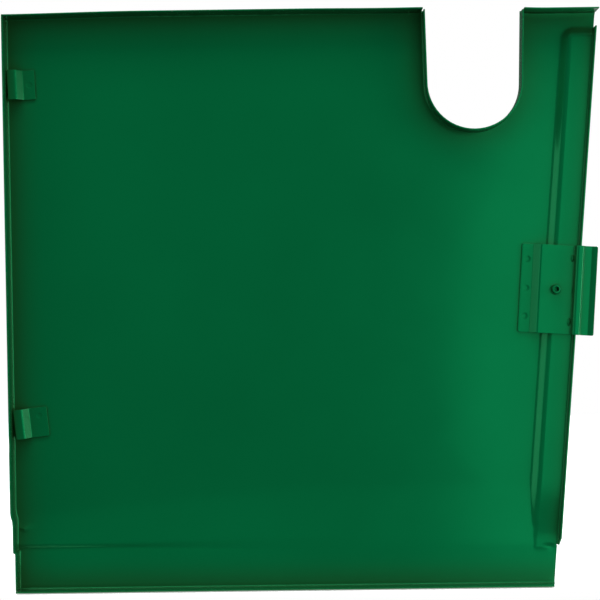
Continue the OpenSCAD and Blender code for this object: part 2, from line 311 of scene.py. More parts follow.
def strip_rise(x, z):
    """Rise of the strip along the right edge, with its rounded upper corner and its run-out below."""
    from_edge = (right_x(z) - x) * math.cos(RIGHT_ANGLE)
    across = STRIP_FLAT_W + STRIP_SLOPE_W - from_edge
    down = STRIP_TOP_Z - z
    depth = min(across, down)
    if across < STRIP_CORNER_R and down < STRIP_CORNER_R:
        depth = STRIP_CORNER_R - math.hypot(STRIP_CORNER_R - across, STRIP_CORNER_R - down)
    slope = STRIP_RISE / STRIP_SLOPE_W
    rise = slope * (hinge(depth, STRIP_FOOT_SOFT) - hinge(depth - STRIP_SLOPE_W, STRIP_TOP_SOFT))
    # it sinks to the border's height and then dips under it
    low_end = CREASE_Z - STRIP_FLANGE_END - 2.0
    level = BORDER_RISE / STRIP_RISE
    fading = level + (1 - level) * ease((z - low_end) / STRIP_RUN_OUT)
    return rise * fading * ease((z - low_end + STRIP_LAST_DIP) / STRIP_LAST_DIP)


def waviness(x, z):
    """Faint crown and waves of the flat, dying out towards its edges."""
    edge = min(x - left_x(z), right_x(z) - x - 20.0, TOP_Z - z, z - CREASE_Z)
    notch = math.hypot(x - NOTCH_X, max(0.0, NOTCH_ARC_Z - z)) - NOTCH_R
    calm = ease((min(edge, notch) - CALM_RIM) / CALM_FADE)
    wave = math.sin(x / WAVE_X + 0.6) * math.sin(z / WAVE_Z + 0.4)
    wave += 0.6 * math.sin((x + z) / WAVE_SLANT)
    return calm * (CROWN_RISE + WAVE_RISE * wave)


def dent(x, z, middle_x, shape):
    """Rise of one dent at a point of the skin."""
    return shape["rise"] * hump(x, z, (middle_x, CREASE_Z + shape["up"]), shape["reach"])


def skin_rise(x, z):
    """Rise of the skin's outer surface anywhere inside its bends."""
    border = border_rise(x, z)
    strip = strip_rise(x, z)
    soft = JOINT_SOFT + JOINT_SOFTER * ease(min(border, strip) / 2.0)
    rise = strip + hinge(border - strip, soft)
    rise += waviness(x, z)
    rise += dent(x, z, left_x(z) + LEFT_WRINKLE["inset"], LEFT_WRINKLE)
    rise += dent(x, z, right_x(z) - FLANGE_DENT["inset"], FLANGE_DENT)
    rise += dent(x, z, right_x(z) - STRIP_DENT["inset"], STRIP_DENT)
    return max(0.0, rise)


# ---------------------------------------------------------------- skin: outline and folds


def top_droop(x):
    """How far the wavy top edge sags below the straight one."""
    left_end = LEFT_DROOP * ease((LEFT_TOP_X + 120 - x) / LEFT_DROOP_L)
    right_end = RIGHT_DROOP * ease((x - NOTCH_X - 20) / RIGHT_DROOP_L)
    dip = TOP_DIP * ease(1 - abs(x - NOTCH_X - TOP_DIP_X) / TOP_DIP_L)
    return left_end + right_end + dip


def left_jog(z):
    """How far the left edge steps in beside the ramp and again beside the border."""
    beside_ramp = RAMP_LEFT_JOG * ease((RAMP_JOG_Z - z) / RAMP_JOG_L)
    beside_border = (BORDER_LEFT_JOG - RAMP_LEFT_JOG) * ease((LEDGE_Z + LEDGE_HALF - z) / (2 * LEDGE_HALF))
    ripple = RIPPLE_DEPTH * hump(0, z, (0, RIPPLE_Z), (1, RIPPLE_L))
    return beside_ramp + beside_border + ripple


def station(x, z, outward, tip=FLANGE_DEPTH, low=OUTER_R + 0.3):
    """A point of the flat's outline and how the fold leaves it there."""
    return {"x": x, "z": z, "out": outward, "tip": tip, "low": low}


def bottom_stations():
    """Along the bottom bend, from the left corner to the open right end."""
    z = BOTTOM_Z + OUTER_R
    first = left_x(BOTTOM_Z) + BORDER_LEFT_JOG + OUTER_R
    last = right_x(z) - BORDER_RIGHT_JOG
    found = [station(x, z, (0, -1)) for x in steps(first, last, FLAT_SPACING)]
    found[0]["out"] = (-1, -1)
    return found


def lower_raw_stations():
    """Up the open edge beside the border, to the foot of the strip's flange."""
    found = []
    end_z = CREASE_Z - STRIP_FLANGE_END
    for z in steps(BOTTOM_Z + OUTER_R + 4, end_z - 1, EDGE_SPACING):
        found.append(station(right_x(z) - BORDER_RIGHT_JOG, z, None))
    found.append(station(right_x(end_z - 0.4) - BORDER_RIGHT_JOG - 0.3, end_z - 0.4, None))
    return found


def strip_stations():
    """Up the bend of the strip's flange, whose lower end is cut off slanting."""
    out = (math.cos(RIGHT_ANGLE), -math.sin(RIGHT_ANGLE))
    end_z = CREASE_Z - STRIP_FLANGE_END
    lower = steps(end_z, CREASE_Z + 18, 1.6)
    middle = steps(CREASE_Z + 26, STRIP_TOP_Z - 14, FLAT_SPACING)
    upper = steps(STRIP_TOP_Z - 9, STRIP_TOP_Z - 0.2, 1.1)
    found = []
    for z in lower + middle + upper:
        x = right_x(z) - OUTER_R / math.cos(RIGHT_ANGLE)
        base = skin_rise(x, z) + OUTER_R + 0.6
        tip = base + (STRIP_FLANGE_TIP - base) * min(1.0, (z - end_z) / STRIP_CHAMFER)
        found.append(station(x, z, out, tip=max(tip, base + 0.3), low=0.0))
    return found


def upper_raw_stations():
    """Out of the slit above the strip's flange and up the open edge to the top."""
    found = [station(right_x(STRIP_TOP_Z) - 1.2, STRIP_TOP_Z, None)]
    for z in steps(STRIP_TOP_Z, TOP_Z - OUTER_R - 2.9, 2.8):
        found.append(station(right_x(z), z, None))
    return found


def top_stations(first, last):
    """Along the top bend, right to left, between two corners."""
    return [station(x, TOP_Z - OUTER_R - top_droop(x), (0, 1)) for x in steps(first, last, FLAT_SPACING)]


def top_right_stations():
    """Along the top bend right of the notch, with both its corners mitred."""
    found = top_stations(right_x(TOP_Z - OUTER_R), NOTCH_X + NOTCH_HALF_MOUTH + OUTER_R)
    found[0]["out"] = (math.tan(RIGHT_ANGLE), 1)
    found[-1]["out"] = (-1, 1)
    return found


def top_left_stations():
    """Along the top bend left of the notch, with both its corners mitred."""
    found = top_stations(NOTCH_X - NOTCH_HALF_MOUTH - OUTER_R, left_x(TOP_Z) + OUTER_R)
    found[0]["out"] = (1, 1)
    found[-1]["out"] = (-1, 1)
    return found


def lip_stations():
    """Round the notch, from just under its right corner to just under its left one."""
    grown = NOTCH_R + OUTER_R
    side_h = TOP_Z - NOTCH_ARC_Z
    lean = (NOTCH_HALF_MOUTH - NOTCH_R) / side_h
    found = []
    for t in steps(0.93, 0.0, 0.09):
        x = grown + (NOTCH_HALF_MOUTH - NOTCH_R) * t
        found.append(station(NOTCH_X + x, NOTCH_ARC_Z + side_h * t, (-1, lean)))
    for angle in steps(-6, -174, 6):
        turned = (math.cos(math.radians(angle)), math.sin(math.radians(angle)))
        x = NOTCH_X + grown * turned[0]
        found.append(station(x, NOTCH_ARC_Z + grown * turned[1], (-turned[0], -turned[1])))
    for t in steps(0.0, 0.93, 0.09):
        x = grown + (NOTCH_HALF_MOUTH - NOTCH_R) * t
        found.append(station(NOTCH_X - x, NOTCH_ARC_Z + side_h * t, (1, lean)))
    return found


def left_stations():
    """Down the left bend to the bottom corner, over the ledge where it steps in."""
    above = steps(TOP_Z - 12, CREASE_Z + 104, FLAT_SPACING)
    above += steps(CREASE_Z + 99, CREASE_Z + 6, EDGE_SPACING)
    ledge = steps(LEDGE_Z + LEDGE_HALF, LEDGE_Z - LEDGE_HALF, 0.5)
    below = steps(LEDGE_Z - LEDGE_HALF - 2, BOTTOM_Z + OUTER_R + 3, EDGE_SPACING)
    found = []
    for z in above + steps(CREASE_Z + 4.5, LEDGE_Z + LEDGE_HALF + 1, 1.5) + ledge + below:
        low = OUTER_R + (BORDER_RISE + 0.3) * ease((CREASE_Z + 30 - z) / 20)
        found.append(station(left_x(z) + left_jog(z) + OUTER_R, z, (-1, 0), low=low))
    return found


def triangulate(outline, inner_points, hole=()):
    """Triangles that fill an outline (less a hole) through the points given, each counter-clockwise.
    Returns the points in order, with the outline's first, and the triangles."""
    points = [Vector(p) for p in outline] + [Vector(p) for p in hole] + [Vector(p) for p in inner_points]
    count = len(outline)
    ring = [(i, (i + 1) % count) for i in range(count)]
    ring += [(count + i, count + (i + 1) % len(hole)) for i in range(len(hole))]
    found = delaunay_2d_cdt(points, ring, [list(range(count))], 1, 1e-6)
    name_of = [ids[0] for ids in found[3]]
    triangles = []
    for face in found[2]:
        corners = [name_of[i] for i in face]
        a, b, c = (points[i] for i in corners)
        if hole and inside((a + b + c) / 3, hole):
            continue
        area = (b - a).cross(c - a)
        triangles.append(corners if area > 0 else corners[::-1])
    return points, triangles


def inside(p, outline):
    """Whether a flat point lies inside an outline."""
    odd = False
    for (ax, ay), (bx, by) in zip(outline, outline[1:] + outline[:1]):
        if (ay > p[1]) != (by > p[1]) and p[0] < ax + (p[1] - ay) * (bx - ax) / (by - ay):
            odd = not odd
    return odd


def clearance(p, outline):
    """Distance from a flat point to an outline."""
    best = 1e9
    for (ax, ay), (bx, by) in zip(outline, outline[1:] + outline[:1]):
        ux, uy = bx - ax, by - ay
        t = ((p[0] - ax) * ux + (p[1] - ay) * uy) / (ux * ux + uy * uy)
        t = min(1.0, max(0.0, t))
        best = min(best, math.hypot(ax + ux * t - p[0], ay + uy * t - p[1]))
    return best


def skin_grid(outline):
    """Points inside the flat, on lines that crowd together where the sheet bends."""
    rows = steps(BOTTOM_Z + 8, CREASE_Z - 12, 7)
    rows += steps(CREASE_Z - 9, CREASE_Z + 4, FINE_SPACING)
    rows += steps(CREASE_Z + 6, CREASE_Z + 58, 2.6)
    rows += steps(CREASE_Z + 66, STRIP_TOP_Z - 20, FLAT_SPACING)
    rows += steps(STRIP_TOP_Z - 13, STRIP_TOP_Z + 2.5, FINE_SPACING)
    rows += steps(STRIP_TOP_Z + 6, TOP_Z - 6, EDGE_SPACING)
    from_left = steps(5, 25, EDGE_SPACING)
    shares = steps(0.07, 0.92, 0.02)
    from_right = steps(34, 30, 2) + steps(28.6, 18.4, 0.85) + steps(15, 4.5, 3.5)
    points = []
    for z in rows:
        width = right_x(z) - left_x(z)
        line = [left_x(z) + d for d in from_left]
        line += [left_x(z) + width * s for s in shares if width * (1 - s) > 38]
        line += [right_x(z) - d / math.cos(RIGHT_ANGLE) for d in from_right]
        for x in line:
            if inside((x, z), outline) and clearance((x, z), outline) > 0.9:
                points.append((x, z))
    return points


def bend_row(bm, at):
    """The points of the bend that leaves one station, after the first."""
    base = skin_rise(at["x"], at["z"])
    row = []
    for i in range(1, BEND_STEPS + 1):
        angle = math.pi / 2 * i / BEND_STEPS
        away = OUTER_R * math.sin(angle)
        x = at["x"] + at["out"][0] * away
        z = at["z"] + at["out"][1] * away
        row.append(bm.verts.new(spot(x, base + OUTER_R * (1 - math.cos(angle)), z)))
    return row


def wall_row(bm, at, shift):
    """The points of the wall above the bend, moved along the edge by a shift at its foot and tip."""
    base = skin_rise(at["x"], at["z"])
    low = max(at["low"], base + OUTER_R + 0.3)
    row = []
    for i in range(WALL_STEPS + 1):
        share = i / WALL_STEPS
        along = [f + (t - f) * share for f, t in zip(shift[0], shift[1])]
        x = at["x"] + at["out"][0] * OUTER_R + along[0]
        z = at["z"] + at["out"][1] * OUTER_R + along[1]
        row.append(bm.verts.new(spot(x, low + (at["tip"] - low) * share, z)))
    return row


def fold(bm, run, feet, bends, trims):
    """Bends the sheet up along a run of stations. Trims say how far the wall's two ends are cut back."""
    nothing = ((0, 0), (0, 0))
    walls = []
    for i, at in enumerate(run):
        key = id(at)
        if key not in bends:
            bends[key] = bend_row(bm, at)
        shift = nothing
        if i in (0, len(run) - 1):
            other = run[1] if i == 0 else run[-2]
            way = Vector((other["x"] - at["x"], other["z"] - at["z"])).normalized()
            trim = trims[0] if i == 0 else trims[1]
            shift = tuple((way.x * t, way.y * t) for t in trim)
        walls.append(wall_row(bm, at, shift))
    for i in range(len(run) - 1):
        columns = []
        for at, wall in ((run[i], walls[i]), (run[i + 1], walls[i + 1])):
            columns.append([feet[id(at)]] + bends[id(at)] + wall)
        for j in range(BEND_STEPS + 1 + WALL_STEPS):
            a, b = columns[0][j], columns[1][j]
            c, d = columns[1][j + 1], columns[0][j + 1]
            bm.faces.new((b, a, d, c))


def skin_mesh():
    """The whole skin as one sheet, which a modifier then thickens."""
    bottom = bottom_stations()
    strip = strip_stations()
    top_right = top_right_stations()
    lip = lip_stations()
    top_left = top_left_stations()
    left = left_stations()
    loop = bottom + lower_raw_stations() + strip + upper_raw_stations()
    loop += top_right + lip + top_left + left
    outline = [(at["x"], at["z"]) for at in loop]
    points, triangles = triangulate(outline, skin_grid(outline))
    bm = bmesh.new()
    flat = [bm.verts.new(spot(p[0], skin_rise(p[0], p[1]), p[1])) for p in points]
    for corners in triangles:
        bm.faces.new([flat[i] for i in corners])
    feet = {id(at): flat[i] for i, at in enumerate(loop)}
    bends = {}
    seam = (SHEET_T + 0.35, SHEET_T + 0.35)
    relief = (LIP_RELIEF, LIP_RELIEF)
    whole = (0, 0)
    fold(bm, bottom, feet, bends, (whole, (0.3, 2.6)))
    fold(bm, strip, feet, bends, (whole, whole))
    fold(bm, top_right, feet, bends, (whole, relief))
    fold(bm, [top_right[-1]] + lip + [top_left[0]], feet, bends, (relief, relief))
    fold(bm, top_left, feet, bends, (relief, whole))
    fold(bm, [top_left[-1]] + left + [bottom[0]], feet, bends, (seam, seam))
    bmesh.ops.delete(bm, geom=[v for v in bm.verts if not v.link_faces], context="VERTS")
    bmesh.ops.reverse_faces(bm, faces=bm.faces[:])
    return bm


# ---------------------------------------------------------------- pieces bent from strip


def rounded_path(line, radius, thickness, count=6):
    """Samples (length along, distance across, rise) of the underside of a bent strip."""
    corners = [Vector(p) for p in line]
    points = [corners[0]]
    for a, b, c in zip(corners, corners[1:], corners[2:]):
        u = (b - a).normalized()
        v = (c - b).normalized()
        bend = math.atan2(u.cross(v), u.dot(v))
        r = radius + thickness if bend > 0 else radius
        side = 1 if bend > 0 else -1
        normal = Vector((-u.y, u.x)) * side
        centre = b - u * r * math.tan(abs(bend) / 2) + normal * r
        for i in range(count + 1):
            points.append(centre + Matrix.Rotation(bend * i / count, 2) @ (-normal * r))
    points.append(corners[-1])
    samples = []
    along = 0.0
    for i, p in enumerate(points):
        if i:
            along += (p - points[i - 1]).length
        samples.append((along, p.x, p.y))
    return samples


def on_path(samples, s):
    """Distance across and rise at a length along a bent strip."""
    for (s0, x0, y0), (s1, x1, y1) in zip(samples, samples[1:]):
        if s <= s1:
            t = (s - s0) / (s1 - s0) if s1 > s0 else 0.0
            return x0 + (x1 - x0) * t, y0 + (y1 - y0) * t
    return samples[-1][1:]


def stretches(samples):
    """Lengths along a strip at which its mesh gets a row of points."""
    rows = [samples[0][0]]
    for sample in samples[1:]:
        if sample[0] - rows[-1] > 2.2:
            rows += steps(rows[-1], sample[0], 1.5)[1:]
        elif sample[0] - rows[-1] > 0.05:
            rows.append(sample[0])
    return rows


def rounded_rectangle(rows, width, radius):
    """Outline of a strip's blank with its four corners rounded."""
    half = width / 2
    length = rows[-1]
    across = steps(-half + radius, half - radius, 2.4)
    arc = [math.radians(a) for a in (30, 60)]
    side = [s for s in rows if radius < s < length - radius]
    outline = [(s, -half) for s in [radius] + side + [length - radius]]
    outline += [(length - radius * (1 - math.sin(a)), -half + radius * (1 - math.cos(a))) for a in arc]
    outline += [(length, w) for w in across]
    outline += [(length - radius * (1 - math.cos(a)), half - radius * (1 - math.sin(a))) for a in arc]
    outline += [(s, half) for s in reversed([radius] + side + [length - radius])]
    outline += [(radius * (1 - math.sin(a)), half - radius * (1 - math.cos(a))) for a in arc]
    outline += [(0, w) for w in reversed(across)]
    outline += [(radius * (1 - math.cos(a)), -half + radius * (1 - math.sin(a))) for a in arc]
    return outline


def strip_mesh(samples, width, place, corner_r, hole=(), dents=()):
    """A bent strip's underside, facing the cover. Returns its mesh and how thick each point is left."""
    rows = stretches(samples)
    outline = rounded_rectangle(rows, width, corner_r)
    points = []
    for s in rows:
        for w in steps(-width / 2 + corner_r, width / 2 - corner_r, 2.4):
            p = (s, w)
            if not inside(p, outline) or clearance(p, outline) < 0.15:
                continue
            if hole and (inside(p, list(hole)) or clearance(p, list(hole)) < 0.6):
                continue
            if any(math.hypot(s - d[0], w - d[1]) < d[2] for d in dents):
                continue
            points.append(p)
    for s, w, reach, depth in dents:
        points.append((s, w))
        for ring in (0.3, 0.55, 0.75, 0.9, 1.0):
            for i in range(16):
                a = math.pi * 2 * i / 16
                points.append((s + reach * ring * math.cos(a), w + reach * ring * math.sin(a)))
    points, triangles = triangulate(outline, points, hole)
    bm = bmesh.new()
    thickness = []
    verts = []
    for p in points:
        x, rise = on_path(samples, p[0])
        verts.append(bm.verts.new(place(x, rise, p[1])))
        thinned = sum(d[3] * weld_profile(math.hypot(p[0] - d[0], p[1] - d[1]) / d[2]) for d in dents)
        thickness.append(1 - thinned)
    for corners in triangles:
        bm.faces.new([verts[i] for i in corners])
    bm.normal_update()
    if sum(face.normal.y for face in bm.faces) < 0:
        bmesh.ops.reverse_faces(bm, faces=bm.faces[:])
    return bm, thickness


def weld_profile(away):
    """Depth of a spot weld's print across its radius: a flat floor with a soft wall."""
    return 1 - ease((away - 0.5) / 0.5)


def clip_place(clip):
    """Where a clip's points go: its foot is welded to the skin and its nose faces the left flange."""
    skew = math.radians(clip["skew"])
    reach = clip["foot"] + CLIP_SLOPE_W + CLIP_NOSE_L
    swing = CLIP_W / 2 * math.sin(skew)
    start_x = left_x(clip["z"]) + SHEET_T + CLIP_GAP + swing + reach

    def place(x, rise, w):
        across = start_x - x * math.cos(skew) - w * math.sin(skew)
        up = clip["z"] - x * math.sin(skew) + w * math.cos(skew)
        return spot(across, SHEET_T + rise, up)

    return place


def clip_line(foot):
    """Underside of a clip, from the end of its foot to its nose."""
    high = CLIP_RISE - CLIP_T
    slope_end = foot + CLIP_SLOPE_W
    return [(0, 0), (foot, 0), (slope_end, high), (slope_end + CLIP_NOSE_L, high)]


def bracket_place(x, rise, w):
    """Where the bracket's points go: x is counted from its foot end, w along the cover's right edge."""
    turned = RIGHT_ANGLE - BRACKET_SKEW
    out = x - BRACKET_INBOARD
    across = right_x(BRACKET_Z) + out * math.cos(turned) + w * math.sin(turned)
    up = BRACKET_Z - out * math.sin(turned) + w * math.cos(turned)
    return spot(across, SHEET_T + rise, up)


def bracket_line():
    """Underside of the bracket: foot, slope, flat, bridge over the strip's flange, tongue and lip."""
    slope_end = BRACKET_FOOT_L + BRACKET_SLOPE_W
    bridge_start = BRACKET_INBOARD - SHEET_T - BRIDGE_SLACK
    bridge_end = BRACKET_INBOARD + BRIDGE_SLACK
    lip_start = BRACKET_INBOARD + TONGUE_L - TONGUE_LIP_L
    lip_rise = TONGUE_RISE + TONGUE_LIP_L * math.tan(TONGUE_LIP_ANGLE)
    return [
        (0, 0),
        (BRACKET_FOOT_L, 0),
        (slope_end, STRIP_RISE),
        (bridge_start - BRIDGE_LEAN, STRIP_RISE),
        (bridge_start, BRIDGE_RISE),
        (bridge_end, BRIDGE_RISE),
        (bridge_end + BRIDGE_LEAN, TONGUE_RISE),
        (lip_start, TONGUE_RISE),
        (BRACKET_INBOARD + TONGUE_L, lip_rise),
    ]


def length_at(samples, x):
    """Length along a bent strip at which it has come a distance across."""
    for (s0, x0, _), (s1, x1, _) in zip(samples, samples[1:]):
        if x0 <= x <= x1 and x1 > x0:
            return s0 + (s1 - s0) * (x - x0) / (x1 - x0)
    return samples[-1][0]


def revolve(bm, profile, place, closed=True):
    """Turns a profile of (radius, height) about an axis and joins the ends of the profile."""
    count = TURN_POINTS
    rings = []
    for r, h in profile:
        ring = []
        for i in range(count):
            a = math.pi * 2 * i / count
            ring.append(bm.verts.new(place(r * math.cos(a), h, r * math.sin(a))))
        rings.append(ring)
    pairs = list(zip(rings, rings[1:] + rings[:1])) if closed else list(zip(rings, rings[1:]))
    for low, high in pairs:
        for i in range(count):
            j = (i + 1) % count
            bm.faces.new((low[i], low[j], high[j], high[i]))
    return rings


def on_standoff(across, height, along):
    """A point about the standoff's axis, with its height counted from the bracket's underside."""
    return bracket_place(BRACKET_INBOARD - STANDOFF_INSET + across, STRIP_RISE + height, along)


def bracket_ring(bm):
    """The ring of bracket metal that is squeezed up round the standoff's barrel."""
    inner = STANDOFF_R + SMALL_GAP
    seat = HEAD_FLAT_R - 0.03
    top = BRACKET_T + RING_H
    profile = [
        (inner, HEAD_T + SMALL_GAP),
        (seat, HEAD_T + SMALL_GAP),
        (seat, BRACKET_T - 0.05),
        (RING_R, BRACKET_T - 0.05),
        (RING_R - 0.15, BRACKET_T + 0.25),
        (RING_R - 0.45, top - 0.08),
        (RING_R - 0.75, top),
        (inner + 0.15, top),
        (inner, top - 0.15),
    ]
    revolve(bm, profile, on_standoff)


def weld_bead(bm, x, w, rise, size):
    """A small flat blob of weld, sunk half into the bracket."""
    made = bmesh.ops.create_uvsphere(bm, u_segments=20, v_segments=10, radius=1.0)
    for vert in made["verts"]:
        bump = 1 + 0.12 * math.sin(3 * vert.co.x + 5 * vert.co.y)
        across = x + vert.co.x * size[0] * bump
        along = w + vert.co.y * size[1] * bump
        vert.co = bracket_place(across, rise + vert.co.z * size[2], along)


# ---------------------------------------------------------------- standoff


def thread_depth(angle, height):
    """How far the thread's groove is cut into the bore's wall."""
    phase = (height / THREAD_PITCH - angle / (2 * math.pi)) % 1.0
    return max(0.0, 1 - abs(phase - 0.5) * 2.6) * (THREAD_R - BORE_R)


def standoff_mesh():
    """Barrel with a hexagon head, and a threaded blind bore."""
    bm = bmesh.new()
    count = TURN_POINTS
    outside = [
        (STANDOFF_R, HEAD_T),
        (STANDOFF_R, STANDOFF_H - 0.35),
        (STANDOFF_R - 0.12, STANDOFF_H - 0.1),
        (STANDOFF_R - 0.35, STANDOFF_H),
        (BORE_R + 0.4, STANDOFF_H),
        (BORE_R + 0.1, STANDOFF_H - 0.3),
    ]
    rings = revolve(bm, outside, on_standoff, closed=False)
    inner = [rings[-1]]
    for height in steps(STANDOFF_H - 0.4, HEAD_T + 0.2, 0.1):
        ring = []
        for i in range(count):
            a = math.pi * 2 * i / count
            r = BORE_R + thread_depth(a, height)
            ring.append(bm.verts.new(on_standoff(r * math.cos(a), height, r * math.sin(a))))
        inner.append(ring)
    for low, high in zip(inner, inner[1:]):
        for i in range(count):
            j = (i + 1) % count
            bm.faces.new((low[i], low[j], high[j], high[i]))
    floor = bm.verts.new(on_standoff(0, HEAD_T, 0))
    for i in range(count):
        bm.faces.new((inner[-1][i], inner[-1][(i + 1) % count], floor))
    head_faces(bm, rings[0], count)
    bmesh.ops.recalc_face_normals(bm, faces=bm.faces[:])
    return bm


def head_faces(bm, barrel_foot, count):
    """The hexagon head under the barrel, closed over its underside."""
    upper = []
    lower = []
    for i in range(count):
        a = math.pi * 2 * i / count
        within = (a + math.pi / 6) % (math.pi / 3) - math.pi / 6
        r = HEAD_R * math.cos(math.pi / 6) / math.cos(math.pi / 6 - abs(within))
        upper.append(bm.verts.new(on_standoff(r * math.cos(a), HEAD_T, r * math.sin(a))))
        lower.append(bm.verts.new(on_standoff(r * math.cos(a), 0.0, r * math.sin(a))))
    for i in range(count):
        j = (i + 1) % count
        bm.faces.new((barrel_foot[i], upper[i], upper[j], barrel_foot[j]))
        bm.faces.new((upper[i], lower[i], lower[j], upper[j]))
    bm.faces.new(lower)


# ---------------------------------------------------------------- objects and modifiers


def new_object(name, bm):
    """A smooth-shaded object in the scene from a mesh under construction."""
    mesh = bpy.data.meshes.new(name)
    bm.to_mesh(mesh)
    bm.free()
    for face in mesh.polygons:
        face.use_smooth = True
    thing = bpy.data.objects.new(name, mesh)
    bpy.context.scene.collection.objects.link(thing)
    return thing


def thicken(thing, thickness, shares=None):
    """Gives a sheet its thickness on its inner side, thinner where the shares say so."""
    solid = thing.modifiers.new("thickness", "SOLIDIFY")
    solid.thickness = thickness * MM
    solid.offset = -1
    solid.use_even_offset = True
    solid.use_rim = True
    if shares:
        group = thing.vertex_groups.new(name="thickness")
        for i, share in enumerate(shares):
            group.add([i], share, "REPLACE")
        solid.vertex_group = group.name


def soften(thing, width):
    """Breaks the cut edges of a piece and evens out its shading."""
    bevel = thing.modifiers.new("broken edges", "BEVEL")
    bevel.width = width * MM
    bevel.segments = 2
    bevel.limit_method = "ANGLE"
    bevel.angle_limit = math.radians(50)
    bevel.use_clamp_overlap = False
    even = thing.modifiers.new("even shading", "WEIGHTED_NORMAL")
    even.keep_sharp = True


def add_piece(thing, node, paint):
    """Joins a piece to the part in place of its plain node."""
    thing.data.materials.append(paint)
    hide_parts(node)
    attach(thing, "root")


def build_skin(paint):
    """The pressed skin, thickened from one bent sheet."""
    skin = new_object("pressed_skin", skin_mesh())
    thicken(skin, SHEET_T)
    soften(skin, SKIN_EDGE)
    add_piece(skin, "cover_skin", paint)


def build_clip(name, node, clip, prints, paint):
    """A hook clip bent from strip, with its spot-weld prints."""
    samples = rounded_path(clip_line(clip["foot"]), CLIP_BEND_R, CLIP_T)
    bm, shares = strip_mesh(samples, CLIP_W, clip_place(clip), 1.0, dents=prints)
    thing = new_object(name, bm)
    thicken(thing, CLIP_T, shares)
    soften(thing, CLIP_EDGE)
    add_piece(thing, node, paint)


def bracket_hole(samples):
    """The hexagon hole in the bracket that takes the standoff's head."""
    middle = length_at(samples, BRACKET_INBOARD - STANDOFF_INSET)
    r = HEAD_R + SMALL_GAP * 2
    corners = [math.radians(60 * i) for i in range(6)]
    hole = [(middle + r * math.cos(a), r * math.sin(a)) for a in corners]
    finer = []
    for (ax, ay), (bx, by) in zip(hole, hole[1:] + hole[:1]):
        finer += [(ax + (bx - ax) * t, ay + (by - ay) * t) for t in (0.0, 0.5)]
    return finer


def build_bracket(paint):
    """The latch bracket, and apart from it the ring round the standoff and the tack welds."""
    samples = rounded_path(bracket_line(), BRACKET_BEND_R, BRACKET_T)
    hole = bracket_hole(samples)
    bm, shares = strip_mesh(samples, BRACKET_W, bracket_place, 1.2, hole, BRACKET_PRINTS)
    plate = new_object("bent_bracket", bm)
    thicken(plate, BRACKET_T, shares)
    soften(plate, BRACKET_EDGE)
    add_piece(plate, "latch_bracket", paint)
    extra = bmesh.new()
    bracket_ring(extra)
    top = STRIP_RISE + BRACKET_T
    for x, w, size in TACK_WELDS:
        weld_bead(extra, x, w, top - TACK_SUNK, size)
    bmesh.ops.recalc_face_normals(extra, faces=extra.faces[:])
    add_piece(new_object("bracket_ring_and_tacks", extra), "latch_bracket", paint)


def build_standoff(paint):
    """The threaded standoff, with sharp edges where it is turned."""
    thing = new_object("threaded_barrel", standoff_mesh())
    thing.data.set_sharp_from_angle(angle=math.radians(35))
    add_piece(thing, "threaded_standoff", paint)


# ---------------------------------------------------------------- materials


def noise(tree, scale, detail):
    """Cloudy values over a piece, in its own coordinates."""
    where = tree.nodes.new("ShaderNodeTexCoord")
    made = tree.nodes.new("ShaderNodeTexNoise")
    made.inputs["Scale"].default_value = scale
    made.inputs["Detail"].default_value = detail
    tree.links.new(where.outputs["Object"], made.inputs["Vector"])
    return made.outputs["Fac"]


def spread(tree, source, low, high, out_low, out_high):
    """Stretches values between low and high onto another range."""
    made = tree.nodes.new("ShaderNodeMapRange")
    made.inputs["From Min"].default_value = low
    made.inputs["From Max"].default_value = high
    made.inputs["To Min"].default_value = out_low
    made.inputs["To Max"].default_value = out_high
    tree.links.new(source, made.inputs["Value"])
    return made.outputs["Result"]


def mix(tree, share, a, b):
    """Colour between a and b. Each is a plain colour or a socket."""
    made = tree.nodes.new("ShaderNodeMix")
    made.data_type = "RGBA"
    tree.links.new(share, made.inputs["Factor"])
    for socket, value in (("A", a), ("B", b)):
        chosen = [i for i in made.inputs if i.name == socket and i.type == "RGBA"][0]
        if isinstance(value, tuple):
            chosen.default_value = value
        else:
            tree.links.new(value, chosen)
    return [o for o in made.outputs if o.type == "RGBA"][0]


def paint_colour(tree):
    """Green with faint clouds, painted shade darkening the corners and creases, and paint rubbed thin on
    the edges.
    """
    clouds = spread(tree, noise(tree, 7.0, 3.0), 0.3, 0.7, 0.0, 1.0)
    body = mix(tree, clouds, PAINT_DARK, PAINT_LIGHT)
    # Painted shade: the colour is darkened towards the darker green wherever the occlusion node finds
    # nearby surfaces, in corners, creases and under flanges
    corner = tree.nodes.new("ShaderNodeAmbientOcclusion")
    corner.inputs["Distance"].default_value = PAINTED_SHADE_REACH
    painted_shade = spread(tree, corner.outputs["AO"], 0.4, 0.97, 0.9, 0.0)
    shaded_body = mix(tree, painted_shade, body, PAINTED_SHADE_GREEN)
    shape = tree.nodes.new("ShaderNodeNewGeometry")
    edge = spread(tree, shape.outputs["Pointiness"], 0.53, 0.62, 0.0, 1.0)
    worn = tree.nodes.new("ShaderNodeMath")
    worn.operation = "MULTIPLY"
    tree.links.new(edge, worn.inputs[0])
    tree.links.new(spread(tree, noise(tree, 160.0, 4.0), 0.45, 0.7, 0.0, 0.5), worn.inputs[1])
    return mix(tree, worn.outputs["Value"], shaded_body, PAINT_WORN)


def orange_peel(tree):
    """The faint roughness of sprayed paint, as a normal."""
    bump = tree.nodes.new("ShaderNodeBump")
    bump.inputs["Strength"].default_value = PEEL_STRENGTH
    bump.inputs["Distance"].default_value = PEEL_DEPTH
    tree.links.new(noise(tree, 420.0, 2.0), bump.inputs["Height"])
    return bump.outputs["Normal"]


